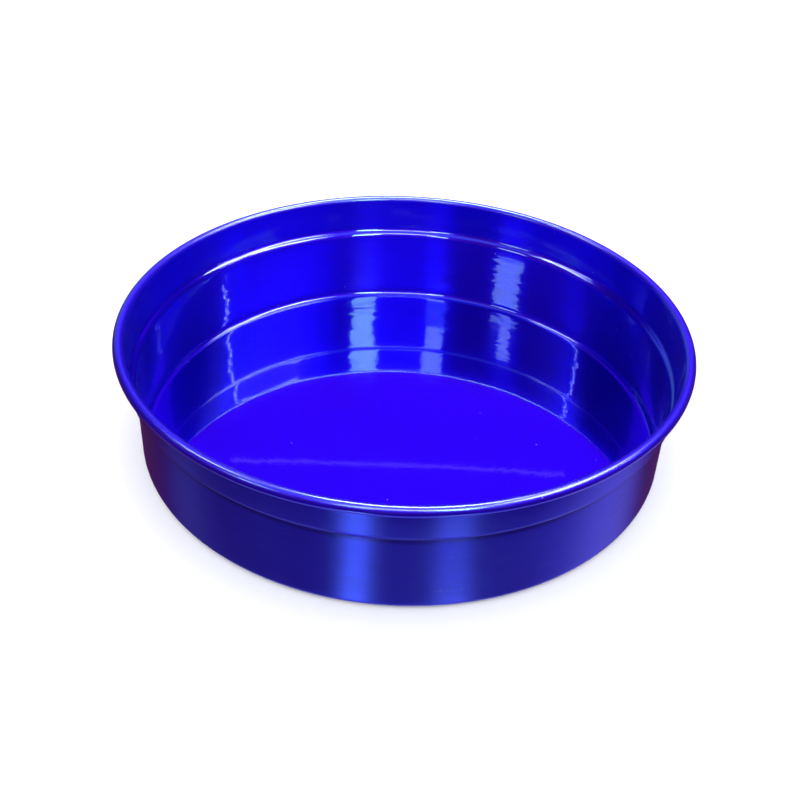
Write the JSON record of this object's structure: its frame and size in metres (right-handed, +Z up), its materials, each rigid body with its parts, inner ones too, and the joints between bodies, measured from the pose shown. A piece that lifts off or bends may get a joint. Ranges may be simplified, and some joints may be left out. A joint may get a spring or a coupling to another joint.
{
  "type": "mud pan",
  "caption": "Round shallow open pan of one drawn sheet, with a rim rolled over a wire and a stacking shoulder in its wall, for mixing and carrying wet compound.",
  "frame": {"origin": "middle of the flat underside, on the surface that the pan stands on", "axes": "+Z up along the pan's axis of revolution; the pan is round, so +X and +Y are any two level directions, and +X passes through the gap between the ends of the rim wire"},
  "size_m": [0.305, 0.305, 0.069],
  "materials": {
    "blue_lacquered_sheet": "glossy transparent deep blue lacquer inside, satin with fine rings outside",
    "rim_wire_steel": "plain drawn wire"
  },
  "bodies": {
    "root": {"pan_shell": "blue_lacquered_sheet", "rim_wire": "rim_wire_steel"}
  },
  "joints": []
}
